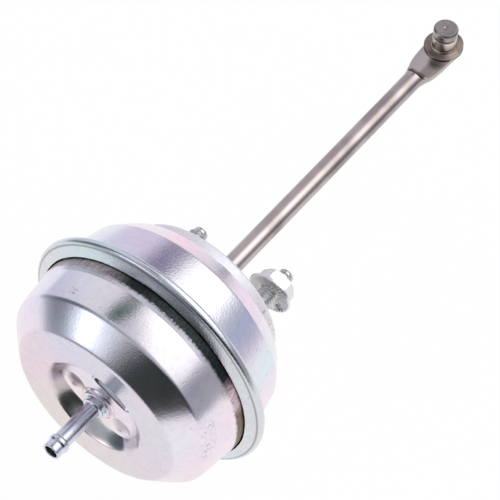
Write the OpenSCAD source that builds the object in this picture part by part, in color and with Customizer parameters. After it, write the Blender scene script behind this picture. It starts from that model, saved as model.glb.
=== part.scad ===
// Wastegate actuator: two pressed cans crimped at a rim, a rolling diaphragm and spring
// inside, a hose nipple in front and a push rod with a lever pin behind.
// +X runs along the rod, +Z along the lever pin, the origin is the mounting face's centre.

/* [Cans] */
// outer radius of the crimped rim
rim_r = 40.2; // [34:0.1:46]
// width of the rim outside the rear can's wall
rim_w = 3.55; // [3:0.05:4.2]
// thickness of the pressed sheet
sheet_t = 0.7; // [0.5:0.1:0.9]
// x of the rear face of the rim
rim_back_x = -23.9; // [-26:0.1:-22]
// how much the rear can's wall narrows from the rim to its shoulder
rear_draft = 2.85; // [2.4:0.05:3.4]
// x of the rear can's shoulder
shoulder_x = -11; // [-13:0.1:-9]
// width of the bevel between the shoulder and the end plate
bevel_w = 4.3; // [3.6:0.1:5]
// step from the rear can's wall in to the front can's
wall_step = 1.55; // [1.3:0.05:1.9]
// how much the front can's wall narrows from the rim to its cone
front_draft = 1.1; // [0.8:0.1:1.4]
// x where the front can's cone begins
cone_x = -42.3; // [-43:0.1:-41]
// width of the cone between the wall and the flat front face
cone_w = 7.4; // [6:0.1:9]
// x of the flat front face
face_x = -49.55; // [-50:0.05:-49]
// radius of the dish in the front face
dish_r = 15.3; // [14.5:0.1:16]
// depth of the dish's two side pockets
dish_depth = 4.6; // [4:0.1:4.8]
// depth of the bridge across the dish
bridge_depth = 2; // [1.6:0.1:2.4]
// width of the bridge's top
bridge_w = 13; // [12:0.5:14]
// angle of the bridge about the rod axis
bridge_turn = 26; // [0:1:90]

/* [Nipple] */
// outer radius of the nipple's tube
nipple_r = 2.6; // [2.4:0.05:2.8]
// radius of the nipple's bore
nipple_bore_r = 2.05; // [1.8:0.05:2.1]
// x of the nipple's mouth
nipple_x = -67.5; // [-72:0.5:-62]
// radius of the hose bead
bead_r = 3.1; // [3:0.05:3.4]
// distance from the mouth to the hose bead
bead_back = 4; // [3.5:0.1:6]
// radius of the collar at the nipple's root
collar_r = 4.5; // [4:0.1:5]

/* [Mounting] */
// metal of the mounting disc outside each stud's axis
disc_margin = 9.9; // [8:0.1:11]
// thickness of the mounting disc
disc_t = 5.1; // [4:0.1:6]
// radius of the disc's rounded edge
disc_edge = 1.4; // [0.5:0.1:2]
// radius of each stud's thread
stud_r = 3; // [3:0.01:3]
// distance between the two studs
stud_gap = 31.4; // [27:0.1:36]
// angle of the stud line about the rod axis
stud_turn = -12.3; // [-45:0.1:45]
// length of each stud from the mounting face
stud_len = 17.8; // [15:0.1:25]
// x of the flange nut's serrated face
nut_x = 9; // [1:0.5:10]
// width of the nut across its flats
nut_flats = 10; // [10:1:10]
// radius of the nut's flange
nut_flange_r = 7.1; // [6.8:0.1:7.4]
// height of the nut with its flange
nut_h = 6.2; // [6:0.1:7]

/* [Rod] */
// radius of the push rod
rod_r = 3; // [3:0.01:3]
// x of the lever pin's axis
pin_x = 117.1; // [100:0.1:140]
// radius of the lever pin's head
pin_r = 3.8; // [3.5:0.05:4]
// height of the lever pin's top above the rod's axis
pin_top = 9.7; // [8:0.1:14]
// radius of the lever pin's collar
pin_collar_r = 6.1; // [5.5:0.1:6.3]
// top of the forged paddle above the rod's axis
paddle_top = 1; // [0.5:0.1:1.5]
// thickness of the forged paddle
paddle_t = 3; // [2.5:0.1:3.5]
// radius of the paddle's round tip
paddle_r = 5.15; // [4.8:0.05:5.5]
// length of the paddle's flat, from its step to the lever pin
paddle_len = 13.7; // [11:0.1:16]

/* [Inside] */
// thickness of the rubber diaphragm
rubber_t = 0.8; // [0.6:0.1:0.8]
// distance between the two legs of the diaphragm's rolling fold
fold_gap = 4.9; // [4:0.1:5.8]
// depth of the piston cup
cup_depth = 15.4; // [12:0.1:16]
// thickness of the piston cup
cup_t = 1; // [0.8:0.1:1.2]
// mean radius of the return spring
spring_r = 18; // [16.5:0.5:20]
// diameter of the spring's wire
wire_d = 3; // [2.6:0.1:3]
// climbing half turns of the spring
spring_halves = 8; // [6:2:8]
// running clearance between the rod and its bush
rod_fit = 0.05; // [0.02:0.01:0.08]
// clearance kept round soft pieces and between bodies
soft_gap = 0.3; // [0.3:0.05:0.4]

/* [Hidden] */
$fn = 96;
cut = 0.5; // overlap of a cutting tool past the face it cuts
arc_steps = 6;
wire_step = 0.04; // the half turns differ this much in diameter so that they join cleanly
half_t = sheet_t / 2;
rear_wall_r = rim_r - rim_w;
shoulder_r = rear_wall_r - rear_draft;
end_plate_r = shoulder_r - bevel_w;
front_wall_r = rear_wall_r - wall_step;
cone_r = front_wall_r - front_draft;
face_r = cone_r - cone_w;
lip_gap = 0.8; // between the folded lip's edge and the front can's wall
lip_in_r = front_wall_r + lip_gap;
disc_r = stud_gap / 2 + disc_margin;
fold_out_r = rear_wall_r - 2.05; // centre line of the fold's outer leg, clear of the rear can
fold_in_r = fold_out_r - fold_gap;
fold_reach = 3.4;
fold_x = rim_back_x + fold_reach;
fold_bend = fold_gap / 2 - 0.01;
cup_r = fold_in_r - rubber_t / 2 - soft_gap;
end_x = -disc_t; // outer face of the rear can's end plate
lip_rise = 24; // slope of the folded lip, degrees
fold_r = 1;
bend_r = 0.9;
press_r = 1.6;
rear_flange_x = rim_back_x - half_t;
rubber_x = rim_back_x - sheet_t - rubber_t / 2;
front_flange_x = rim_back_x - sheet_t - rubber_t - half_t;
rim_front_x = front_flange_x - 0.35;
bush_r = 6;
bush_flange_r = 9;
bush_flange_t = 1.5;
bush_len = 10.9; // the bush's guide in front of the end plate
bush_inner_x = end_x - bush_len;
seal_r = 5;
seal_t = 2.4;
seal_cover_t = 1;
floor_x = face_x + dish_depth; // outer face of the dish's pockets
bridge_x = face_x + bridge_depth;
bridge_t = 1.2;
bridge_slope = 1.4;
bridge_reach = dish_r - 0.6; // half the bridge's length
scoop_r = 5; // ball that presses a scoop at each end of the bridge
scoop_in = 4.7; // from the dish's edge to the ball's centre
scoop_up = 4.4;
scoop_at = dish_r - scoop_in;
scoop_x = bridge_x - scoop_up;
stop_x = floor_x + sheet_t + soft_gap; // foremost face of the bumper at rest
bumper_t = 1.6;
bumper_in = 9.5;
bumper_out = 13;
plate_r = 20;
plate_t = 1.2;
plate_x = stop_x + bumper_t;
face_rubber_x = plate_x + plate_t + rubber_t / 2;
cup_x = face_rubber_x + rubber_t / 2;
washer_t = 1.5;
washer_r = 10;
washer_x = cup_x + cup_t;
shoulder_at = washer_x + washer_t; // where the rod steps down to its neck
neck_r = 2.5;
lock_h = 2.4;
lock_flats = 8;
rod_tip_x = plate_x - lock_h - 0.2;
seat_t = 1.2;
seat_land = 4;
seat_in = spring_r - seat_land;
seat_out = spring_r + wire_d / 2 + 1.5;
seat_lip = 2.2;
seat_lip_t = 1.4;
spring_back = end_x - sheet_t - seat_t - 0.02;
spring_front = cup_x + cup_t + 0.02;
spring_h = spring_back - spring_front - wire_d;
tilt = atan(spring_h / spring_halves / (2 * spring_r));
step_x = pin_x - paddle_len; // where the rod's forged end is cut down to the paddle's flat
step_r = 2.1; // radius of the cutter that leaves the step
flare_x = step_x - 3.4; // the rod begins to swell here
under_len = 5; // run-out of the flat below the paddle
tip_x = pin_x + 2; // centre of the paddle's round tip
groove_down = 2.9; // from the pin's top to its clip groove
collar_t = 0.9; // height of the pin's collar at the pin
collar_rim = 0.5; // and at its edge
bead_w = 1;
bulge = 0.45; // how far the front can's wall stands out behind the lip
bulge_w = 5.3;
nut_flange_t = 1.5;
dog_len = 1.3; // the plain dog point at a stud's end
root_r = stud_r + 0.3; // a stud's knurled root, pressed into the disc
relief_r = stud_r - 0.45;
relief_w = 0.8;

// which piece to draw

function unit(v) = v / norm(v);
function left(v) = [-v[1], v[0]];
function turned(v, a) = [v[0] * cos(a) - v[1] * sin(a), v[0] * sin(a) + v[1] * cos(a)];
function xy(p) = [p[0], p[1]];

// points of one rounded corner, moved sideways by off
function corner(p, q, s, r, off) = let(
    u = unit(q - p), w = unit(s - q), side = sign(u[0] * w[1] - u[1] * w[0]),
    half = acos(max(-1, min(1, u * w))) / 2,
    c = q - u * r * tan(half) + left(u) * side * r)
    [for (i = [0:arc_steps]) c - turned(left(u), side * 2 * half * i / arc_steps) * side * (r - side * off)];

// a path of [radius, x, bend radius] moved sideways by off
function side_line(path, off) = let(n = len(path) - 1) concat(
    [xy(path[0]) + left(unit(xy(path[1]) - xy(path[0]))) * off],
    [for (k = [1:n - 1]) each corner(xy(path[k - 1]), xy(path[k]), xy(path[k + 1]), path[k][2], off)],
    [xy(path[n]) + left(unit(xy(path[n]) - xy(path[n - 1]))) * off]);

function reversed(list) = [for (i = [len(list) - 1:-1:0]) list[i]];

// section of a pressed sheet along a path
module sheet(path, t) {
    polygon(concat(side_line(path, t / 2), reversed(side_line(path, -t / 2))));
}

// turns a section of [radius, x] about the rod's axis
module spin() {
    rotate([0, 90, 0]) rotate_extrude() children();
}

// a straight round piece along the rod's axis, from x0 to x1
module rod_along(r, x0, x1) {
    translate([x0, 0, 0]) rotate([0, 90, 0]) cylinder(r = r, h = x1 - x0);
}

// puts a child drawn on the rod's axis where a stud stands, side 1 or -1
module at_stud(side) {
    rotate([stud_turn, 0, 0]) translate([0, side * stud_gap / 2, 0]) children();
}

function rear_path() = [
    [bush_r, end_x - half_t, 0],
    [end_plate_r - half_t, end_x - half_t, press_r],
    [shoulder_r - half_t, shoulder_x - half_t, press_r],
    [rear_wall_r - half_t, rear_flange_x, bend_r],
    [rim_r - half_t, rear_flange_x, fold_r],
    [rim_r - half_t, rim_front_x + half_t, fold_r * 0.8],
    [lip_in_r, rim_front_x + half_t - (rim_r - half_t - lip_in_r) * tan(lip_rise), 0]];

function front_path() = [
    [lip_in_r + 2, front_flange_x, 0],
    [front_wall_r - half_t + bulge, front_flange_x, bend_r * 0.8],
    [front_wall_r - half_t + bulge, front_flange_x - bulge_w, 0.6],
    [front_wall_r - half_t, front_flange_x - bulge_w - 1.4, 0.6],
    [cone_r - half_t, cone_x + half_t * 0.5, 1.2],
    [face_r - half_t * 0.5, face_x + half_t, press_r],
    [dish_r, face_x + half_t, bend_r],
    [dish_r - 1, floor_x + half_t, bend_r],
    [collar_r - 1, floor_x + half_t, 0]];

module front_can() color([0.86, 0.86, 0.87]) difference() {
    union() {
        spin() difference() {
            sheet(front_path(), sheet_t);
            sheet([for (i = [3:6]) rear_path()[i]], sheet_t);
        }
        bridge(0);
    }
    bridge(bridge_t);
    rod_along(nipple_r, face_x - cut, floor_x + sheet_t + cut);
    for (side = [1, -1])
        rotate([bridge_turn, 0, 0]) translate([scoop_x, side * scoop_at, 0]) sphere(r = scoop_r);
}

// the raised bridge across the dish, pointed at both ends, or with inset the hollow behind it
module bridge(inset) {
    back = floor_x + (inset > 0 ? sheet_t + cut : half_t);
    out = (bridge_reach * bridge_reach - bridge_w * bridge_w / 4) / bridge_w; // to the centre of each side's arc
    big = out + bridge_w / 2 - inset;
    intersection() {
        bridge_side(1, out, big, bridge_x + inset, back);
        bridge_side(-1, out, big, bridge_x + inset, back);
        rod_along(dish_r - 0.6 - inset, bridge_x - 1, back + 1);
    }
}

// the round block that one side of the bridge is part of
module bridge_side(side, out, big, front, back) {
    rotate([bridge_turn, 0, 0]) translate([front, 0, -side * out]) rotate([0, 90, 0])
        cylinder(r1 = big, r2 = big + bridge_slope, h = back - front);
}

module rear_can() color([0.84, 0.86, 0.88]) spin() sheet(rear_path(), sheet_t);

module hose_nipple() color([0.8, 0.82, 0.85]) spin() {
    root = bridge_x + bridge_t;
    bead_x = nipple_x + bead_back;
    polygon([[nipple_bore_r, nipple_x + 0.3], [nipple_bore_r + 0.25, nipple_x],
        [nipple_r - 0.15, nipple_x], [nipple_r + 0.1, nipple_x + 0.3], [nipple_r + 0.1, nipple_x + 1.6],
        [nipple_r + 0.3, bead_x - bead_w - 0.6], [bead_r, bead_x - bead_w], [bead_r, bead_x], [nipple_r, bead_x + 0.4],
        [nipple_r, bridge_x - 2.2], [nipple_r + 0.5, bridge_x - 1.8], [nipple_r + 0.5, bridge_x - 1.4],
        [nipple_r + 0.35, bridge_x - 1.4], [nipple_r + 0.35, bridge_x - 1.1],
        [collar_r - 0.25, bridge_x - 1.1], [collar_r, bridge_x - 0.85], [collar_r, bridge_x],
        [nipple_r, bridge_x], [nipple_r, root], [collar_r - 0.2, root], [collar_r - 0.2, root + 0.5],
        [nipple_bore_r, root + 0.5]]);
}

module diaphragm() color([0.1, 0.1, 0.11]) spin() {
    sheet([[lip_in_r + 2.5, rubber_x, 0], [fold_out_r, rubber_x, 1.2], [fold_out_r, fold_x, fold_bend],
        [fold_in_r, fold_x, fold_bend], [fold_in_r, face_rubber_x, 2.6],
        [neck_r + soft_gap, face_rubber_x, 0]], rubber_t);
}

module piston_cup() color([0.72, 0.73, 0.75]) spin()
    sheet([[neck_r, cup_x + cup_t / 2, 0], [cup_r - cup_t / 2, cup_x + cup_t / 2, press_r],
        [cup_r - cup_t / 2, cup_x + cup_depth, 0]], cup_t);

module retainer_plate() color([0.7, 0.71, 0.73]) spin()
    polygon([[neck_r, plate_x], [plate_r - 0.4, plate_x], [plate_r, plate_x + 0.4],
        [plate_r, plate_x + plate_t], [neck_r, plate_x + plate_t]]);

module stop_bumper() color([0.12, 0.12, 0.13]) spin()
    polygon([[bumper_in, plate_x], [bumper_in + 0.5, stop_x], [bumper_out - 0.5, stop_x], [bumper_out, plate_x]]);

module backing_washer() color([0.7, 0.71, 0.73]) spin()
    polygon([[neck_r, washer_x], [washer_r, washer_x], [washer_r, shoulder_at - 0.3],
        [washer_r - 0.3, shoulder_at], [neck_r, shoulder_at]]);

// a hexagon nut's body on the rod's axis with both corners turned off
module hex_body(flats, r_hole, x0, x1) {
    big = flats / cos(30) / 2;
    difference() {
        intersection() {
            translate([x0, 0, 0]) rotate([0, 90, 0]) cylinder(r = big, h = x1 - x0, $fn = 6);
            spin() polygon([[0, x0], [flats / 2 + 0.1, x0], [big, x0 + 0.35], [big, x1 - 0.5],
                [flats / 2, x1], [0, x1]]);
        }
        rod_along(r_hole, x0 - cut, x1 + cut);
    }
}

module lock_nut() color([0.75, 0.75, 0.76]) hex_body(lock_flats, neck_r, plate_x - lock_h, plate_x);

// how the rod's forged end swells to the paddle, as [radius, x]
function swelling() = [[rod_r, flare_x], [rod_r + 0.12, flare_x + 1.3], [rod_r + 0.4, flare_x + 2.5],
    [rod_r + 0.75, flare_x + 4], [rod_r + 1.15, flare_x + 5.2], [rod_r + 1.45, flare_x + 6.4],
    [paddle_r - 0.45, flare_x + 8.2], [paddle_r - 0.25, flare_x + 11], [paddle_r - 0.15, pin_x - 2.6], [paddle_r, tip_x]];

// what is milled off above and below the paddle, seen from the side
module paddle_cutter() {
    wide = 2 * paddle_r;
    under = paddle_top - paddle_t;
    rotate([90, 0, 0]) linear_extrude(height = wide, center = true) {
        translate([step_x, paddle_top]) square([wide + pin_x - step_x, wide]);
        translate([step_x, paddle_top + step_r]) circle(r = step_r);
        polygon([[step_x + step_r, under], [step_x + wide + pin_x, under], [step_x + wide + pin_x, -wide],
            [step_x + step_r - under_len, -wide], [step_x + step_r - under_len, -rod_r - 0.3]]);
    }
}

module rod() color([0.62, 0.58, 0.56]) difference() {
    union() {
        spin() polygon([[0, rod_tip_x], [neck_r - 0.4, rod_tip_x], [neck_r, rod_tip_x + 0.4],
            [neck_r, shoulder_at], [rod_r, shoulder_at], [rod_r, flare_x + 0.1], [0, flare_x + 0.1]]);
        spin() polygon(concat([[0, flare_x]], swelling(), [[0, tip_x]]));
        translate([tip_x, 0, 0]) sphere(r = paddle_r);
    }
    paddle_cutter();
    translate([pin_x, 0, paddle_top - paddle_t - cut]) cylinder(r = neck_r, h = paddle_t + 2 * cut);
}

module lever_pin() color([0.6, 0.57, 0.55]) translate([pin_x, 0, 0]) rotate_extrude() {
    groove = pin_top - groove_down;
    seat = paddle_top;
    under = paddle_top - paddle_t;
    polygon([[0, pin_top - 0.12], [0.5, pin_top], [pin_r - 0.45, pin_top], [pin_r, pin_top - 0.45],
        [pin_r, groove + 0.1], [pin_r - 0.4, groove], [pin_r - 0.4, groove - 0.45], [pin_r, groove - 0.55],
        [pin_r, seat + collar_t + 0.4], [pin_r + 0.3, seat + collar_t], [pin_collar_r - 0.15, seat + collar_rim],
        [pin_collar_r, seat + collar_rim - 0.15], [pin_collar_r - 0.1, seat],
        [neck_r, seat], [neck_r, under], [neck_r + 1.4, under], [neck_r + 1.4, under - 0.4],
        [neck_r + 0.7, under - 0.9], [0, under - 1]]);
}

// half a turn of wire that climbs along X, first or second half
module half_turn(x, climb, second) {
    thick = second ? wire_d - wire_step : wire_d;
    translate([x, 0, 0]) rotate([second ? 180 : 0, 0, 0]) rotate([0, 90, 0]) rotate([0, -climb, 0])
        rotate_extrude(angle = 180) translate([spring_r / cos(climb), 0]) circle(d = thick, $fn = 20);
}

module return_spring() color([0.55, 0.56, 0.58]) {
    first = spring_front + wire_d / 2;
    rise = 2 * spring_r * tan(tilt);
    union() {
        half_turn(first, 0, true);
        for (k = [0:spring_halves - 1]) half_turn(first + rise * (k + 0.5), tilt, k % 2 == 1);
        half_turn(first + rise * spring_halves, 0, false);
    }
}

module spring_seat() color([0.3, 0.31, 0.33]) spin() {
    back = end_x - sheet_t;
    polygon([[seat_in, back], [seat_out, back], [seat_out, back - seat_t], [seat_in + seat_lip_t, back - seat_t],
        [seat_in + seat_lip_t, back - seat_t - seat_lip + 0.4], [seat_in + seat_lip_t - 0.4, back - seat_t - seat_lip],
        [seat_in, back - seat_t - seat_lip]]);
}

module rod_bush() color([0.66, 0.5, 0.3]) spin() {
    back = end_x - sheet_t;
    inner = rod_r + rod_fit;
    seal_x = -seal_cover_t - seal_t;
    polygon([[inner, bush_inner_x], [bush_r - 0.5, bush_inner_x], [bush_r, bush_inner_x + 0.5],
        [bush_r, back - bush_flange_t], [bush_flange_r, back - bush_flange_t], [bush_flange_r, back], [bush_r, back],
        [bush_r, -seal_cover_t], [seal_r, -seal_cover_t], [seal_r, seal_x], [inner, seal_x]]);
}

module rod_seal() color([0.1, 0.1, 0.1]) spin() {
    inner = rod_r + soft_gap;
    polygon([[inner + 0.4, -seal_cover_t - seal_t], [seal_r, -seal_cover_t - seal_t], [seal_r, -seal_cover_t],
        [inner, -seal_cover_t], [inner, -seal_cover_t - 0.8], [inner + 0.4, -seal_cover_t - 1.2]]);
}

module seal_cover() color([0.78, 0.79, 0.8]) spin()
    polygon([[rod_r + soft_gap, -seal_cover_t], [bush_r, -seal_cover_t], [bush_r, -0.2], [bush_r - 0.2, 0],
        [rod_r + soft_gap, 0]]);

module mounting_disc() color([0.88, 0.88, 0.88]) difference() {
    spin() union() {
        polygon([[bush_r, end_x], [disc_r, end_x], [disc_r, -disc_edge], [disc_r - disc_edge, 0], [bush_r, 0]]);
        translate([disc_r - disc_edge, -disc_edge]) circle(r = disc_edge);
    }
    for (side = [1, -1]) at_stud(side) rod_along(root_r, end_x - cut, cut);
}

// a stud along X: a root pressed into the disc, a relief at the face and a short dog point
module stud() {
    dog = stud_r - 0.75;
    spin() polygon([[0, end_x], [root_r, end_x], [root_r, 0], [relief_r, 0], [relief_r, relief_w],
        [stud_r, relief_w + stud_r - relief_r], [stud_r, stud_len - dog_len - 0.7], [dog + 0.15, stud_len - dog_len],
        [dog, stud_len - dog_len], [dog, stud_len - 0.3], [dog - 0.3, stud_len], [0, stud_len]]);
}

module stud_left() color([0.85, 0.85, 0.84]) at_stud(1) stud();

module stud_right() color([0.85, 0.85, 0.84]) at_stud(-1) stud();

module flange_nut() color([0.9, 0.9, 0.9]) at_stud(-1) difference() {
    top = nut_x + nut_h;
    lead = 0.6; // chamfer at both mouths of the thread
    union() {
        hex_body(nut_flats, stud_r, nut_x, top);
        spin() polygon([[0, nut_x], [nut_flange_r - 0.3, nut_x], [nut_flange_r, nut_x + 0.3],
            [nut_flange_r, nut_x + 0.9], [nut_flats / 2, nut_x + nut_flange_t + 0.6], [0, nut_x + nut_flange_t + 0.6]]);
    }
    rod_along(stud_r, nut_x - cut, top + cut);
    spin() polygon([[0, nut_x - cut], [stud_r + lead + cut, nut_x - cut], [stud_r, nut_x + lead], [0, nut_x + lead]]);
    spin() polygon([[0, top + cut], [stud_r + lead + cut, top + cut], [stud_r, top - lead], [0, top - lead]]);
}

front_can();
rear_can();
hose_nipple();
diaphragm();
piston_cup();
retainer_plate();
stop_bumper();
backing_washer();
lock_nut();
rod();
lever_pin();
return_spring();
spring_seat();
rod_bush();
rod_seal();
seal_cover();
mounting_disc();
stud_left();
stud_right();
flange_nut();
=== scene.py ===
import bpy
import bmesh
import math
from mathutils import Vector, Matrix


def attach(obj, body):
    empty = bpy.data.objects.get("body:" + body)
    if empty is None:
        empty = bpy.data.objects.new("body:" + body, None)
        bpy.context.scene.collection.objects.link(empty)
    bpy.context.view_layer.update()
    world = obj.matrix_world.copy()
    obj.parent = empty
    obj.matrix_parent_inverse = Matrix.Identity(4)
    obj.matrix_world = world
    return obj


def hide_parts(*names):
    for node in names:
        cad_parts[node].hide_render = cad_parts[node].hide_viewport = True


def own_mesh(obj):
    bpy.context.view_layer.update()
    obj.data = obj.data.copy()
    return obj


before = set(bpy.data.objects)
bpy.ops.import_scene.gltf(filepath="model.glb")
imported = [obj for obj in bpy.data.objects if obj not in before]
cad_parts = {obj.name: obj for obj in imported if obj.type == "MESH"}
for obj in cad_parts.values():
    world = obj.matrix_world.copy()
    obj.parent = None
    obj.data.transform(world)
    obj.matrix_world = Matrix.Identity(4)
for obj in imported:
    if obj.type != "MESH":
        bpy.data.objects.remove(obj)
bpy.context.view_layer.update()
print("frame loaded")

mm = 0.001

# small tools


def smoothStep(a, b, v):
    t = min(1.0, max(0.0, (v - a) / (b - a)))
    return t * t * (3 - 2 * t)


def bend(points, steps=8):
    # points are [radius, x, bend radius]; returns the centre line and its left normals
    line = []
    last = len(points) - 1
    for i, p in enumerate(points):
        here = Vector(p[:2])
        if i in (0, last):
            along = (Vector(points[1][:2]) - here) if i == 0 else (here - Vector(points[last - 1][:2]))
            along.normalize()
            line.append((here, Vector((-along.y, along.x))))
            continue
        before = (here - Vector(points[i - 1][:2])).normalized()
        after = (Vector(points[i + 1][:2]) - here).normalized()
        turn = before.x * after.y - before.y * after.x
        side = 1 if turn > 0 else -1
        half = math.acos(max(-1, min(1, before.dot(after)))) / 2
        normal = Vector((-before.y, before.x))
        radius = p[2]
        centre = here - before * radius * math.tan(half) + normal * side * radius
        for k in range(steps + 1):
            a = side * 2 * half * k / steps
            n = Vector((normal.x * math.cos(a) - normal.y * math.sin(a), normal.x * math.sin(a) + normal.y * math.cos(a)))
            line.append((centre - n * side * radius, n))
    return line


def spread(line, longest):
    # adds points so that no step is longer than this, in mm
    out = [line[0]]
    for (a, na), (b, nb) in zip(line, line[1:]):
        count = max(1, math.ceil((b - a).length / longest))
        for k in range(1, count + 1):
            t = k / count
            out.append((a.lerp(b, t), na.lerp(nb, t).normalized()))
    return out


def sheetLoop(points, thickness, longest=2.0, steps=8):
    line = spread(bend(points, steps), longest)
    left = [p + n * thickness / 2 for p, n in line]
    right = [p - n * thickness / 2 for p, n in line]
    return left + right[::-1]


def makeObject(name, verts, faces, material, angle=35):
    mesh = bpy.data.meshes.new(name)
    mesh.from_pydata([Vector(v) * mm for v in verts], [], faces)
    shown = bmesh.new()
    shown.from_mesh(mesh)
    bmesh.ops.remove_doubles(shown, verts=shown.verts, dist=0.000002)
    bmesh.ops.dissolve_degenerate(shown, edges=shown.edges, dist=0.000001)
    bmesh.ops.recalc_face_normals(shown, faces=shown.faces)
    for face in shown.faces:
        face.smooth = True
    for edge in shown.edges:
        if len(edge.link_faces) == 2 and edge.calc_face_angle(0) > math.radians(angle):
            edge.smooth = False
    shown.to_mesh(mesh)
    shown.free()
    obj = bpy.data.objects.new(name, mesh)
    bpy.context.scene.collection.objects.link(obj)
    obj.data.materials.append(material)
    return obj


def turn(name, loop, material, around=256, closed=True, shape=None, angle=35, centre=(0, 0)):
    # turns a loop of (radius, x) about the rod's axis; shape may move each point
    verts, faces = [], []
    count = len(loop)
    for j in range(around):
        a = 2 * math.pi * j / around
        for i, (r, x) in enumerate(loop):
            if shape:
                r, x = shape(i, r, x, a)
            verts.append((x, centre[0] + r * math.cos(a), centre[1] + r * math.sin(a)))
    span = count if closed else count - 1
    for j in range(around):
        k = (j + 1) % around
        for i in range(span):
            n = (i + 1) % count
            faces.append((j * count + i, j * count + n, k * count + n, k * count + i))
    return makeObject(name, verts, faces, material, angle)


def stand(obj, rotate=None, move=(0, 0, 0)):
    # bakes a placement into the mesh so that the object stays at the origin
    matrix = Matrix.Translation(Vector(move) * mm) @ (rotate.to_4x4() if rotate else Matrix.Identity(4))
    obj.data.transform(matrix)
    obj.data.update()
    return obj


# materials


def nodeKit(name):
    material = bpy.data.materials.new(name)
    material.use_nodes = True
    tree = material.node_tree
    shader = tree.nodes["Principled BSDF"]
    place = tree.nodes.new("ShaderNodeTexCoord")
    return material, tree, shader, place.outputs["Object"]


def addNode(tree, kind, values=None, **settings):
    node = tree.nodes.new(kind)
    for key, value in settings.items():
        setattr(node, key, value)
    for key, value in (values or {}).items():
        node.inputs[key].default_value = value
    return node


def noiseNode(tree, place, scale, detail=3.0, rough=0.5, stretch=None):
    node = addNode(tree, "ShaderNodeTexNoise", {"Scale": scale, "Detail": detail, "Roughness": rough})
    if stretch:
        mapping = addNode(tree, "ShaderNodeMapping", {"Scale": stretch})
        tree.links.new(place, mapping.inputs["Vector"])
        place = mapping.outputs["Vector"]
    tree.links.new(place, node.inputs["Vector"])
    return node.outputs["Fac"]


def rampNode(tree, source, stops, ease="EASE"):
    node = tree.nodes.new("ShaderNodeValToRGB")
    node.color_ramp.interpolation = ease
    points = node.color_ramp.elements
    while len(points) < len(stops):
        points.new(0.5)
    for point, (at, colour) in zip(points, stops):
        point.position = at
        point.color = (*colour, 1) if len(colour) == 3 else colour
    tree.links.new(source, node.inputs["Fac"])
    return node.outputs["Color"]


def mixColours(tree, a, b, amount, blend="MIX"):
    node = addNode(tree, "ShaderNodeMix", data_type="RGBA", blend_type=blend)
    for socket, value in ((node.inputs[6], a), (node.inputs[7], b), (node.inputs[0], amount)):
        if isinstance(value, (int, float)):
            socket.default_value = value
        elif isinstance(value, tuple):
            socket.default_value = (*value, 1)
        else:
            tree.links.new(value, socket)
    return node.outputs[2]


def mathNode(tree, what, a, b=None):
    node = addNode(tree, "ShaderNodeMath", operation=what)
    for socket, value in zip(node.inputs, (a, b)):
        if value is None:
            continue
        if isinstance(value, (int, float)):
            socket.default_value = value
        else:
            tree.links.new(value, socket)
    return node.outputs[0]


def rangeNode(tree, source, low, high, toLow=0.0, toHigh=1.0):
    node = addNode(tree, "ShaderNodeMapRange", {"From Min": low, "From Max": high, "To Min": toLow, "To Max": toHigh})
    tree.links.new(source, node.inputs["Value"])
    return node.outputs["Result"]


def bumpChain(tree, shader, layers):
    # layers are (height, strength, distance in metres)
    normal = None
    for height, strength, distance in layers:
        node = addNode(tree, "ShaderNodeBump", {"Strength": strength, "Distance": distance})
        tree.links.new(height, node.inputs["Height"])
        if normal:
            tree.links.new(normal, node.inputs["Normal"])
        normal = node.outputs["Normal"]
    tree.links.new(normal, shader.inputs["Normal"])


plating = {
    "body": (0.86, 0.865, 0.885),
    "pink": (0.95, 0.79, 0.86),
    "rose": (0.95, 0.70, 0.83),
    "cream": (0.94, 0.89, 0.78),
    "cyan": (0.72, 0.88, 0.90),
    "lavender": (0.82, 0.79, 0.93),
    "rim": (0.55, 0.66, 0.68),
    "filmScale": 26.0,      # noise cells per metre of the coloured film
    "film": 0.9,            # how strong the film's colour is
    "roughness": (0.17, 0.25),
    "peelScale": 1900.0,
    "peel": 0.12,
    "grainScale": 5200.0,
    "grain": 0.04,
    "speckle": 0.3,         # fine cloudy grain of the plating
}


def zincPlate(name, look=None, tint=None, dirtAndShade=None):
    # bright zinc plate: a pale metal under a thin coloured film, with a pressed sheet's faint peel
    v = dict(plating, **(look or {}))
    material, tree, shader, place = nodeKit(name)
    film = noiseNode(tree, place, v["filmScale"], 2.0, 0.45)
    stops = [(0.30, v["cyan"]), (0.42, v["lavender"]), (0.52, v["pink"]), (0.64, v["cream"]), (0.76, v["body"])]
    colour = rampNode(tree, film, stops)
    if tint:
        colour = tint(tree, place, colour, v)
    colour = mixColours(tree, v["body"], colour, v["film"])
    cloud = rampNode(tree, noiseNode(tree, place, 420, 6.0, 0.75), [(0.36, (0.80, 0.81, 0.86)), (0.6, (1, 1, 1))])
    colour = mixColours(tree, colour, cloud, v["speckle"], "MULTIPLY")
    speck = noiseNode(tree, place, 900, 2.0, 0.6)
    dull = rampNode(tree, speck, [(0.26, (0.5, 0.48, 0.48)), (0.33, (1, 1, 1))])
    colour = mixColours(tree, colour, dull, 0.4, "MULTIPLY")
    smear = noiseNode(tree, place, 60, 4.0, 0.6)
    rough = rangeNode(tree, smear, 0.3, 0.7, *v["roughness"])
    # the hook adds real wear, and painted shade where a part has it
    if dirtAndShade:
        colour, rough = dirtAndShade(tree, place, colour, rough)
    tree.links.new(colour, shader.inputs["Base Color"])
    shader.inputs["Metallic"].default_value = 1.0
    tree.links.new(rough, shader.inputs["Roughness"])
    bumpChain(tree, shader, [
        (noiseNode(tree, place, v["peelScale"], 2.0, 0.5), v["peel"], 0.0002),
        (noiseNode(tree, place, v["grainScale"], 3.0, 0.6), v["grain"], 0.0001)])
    return material


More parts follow.
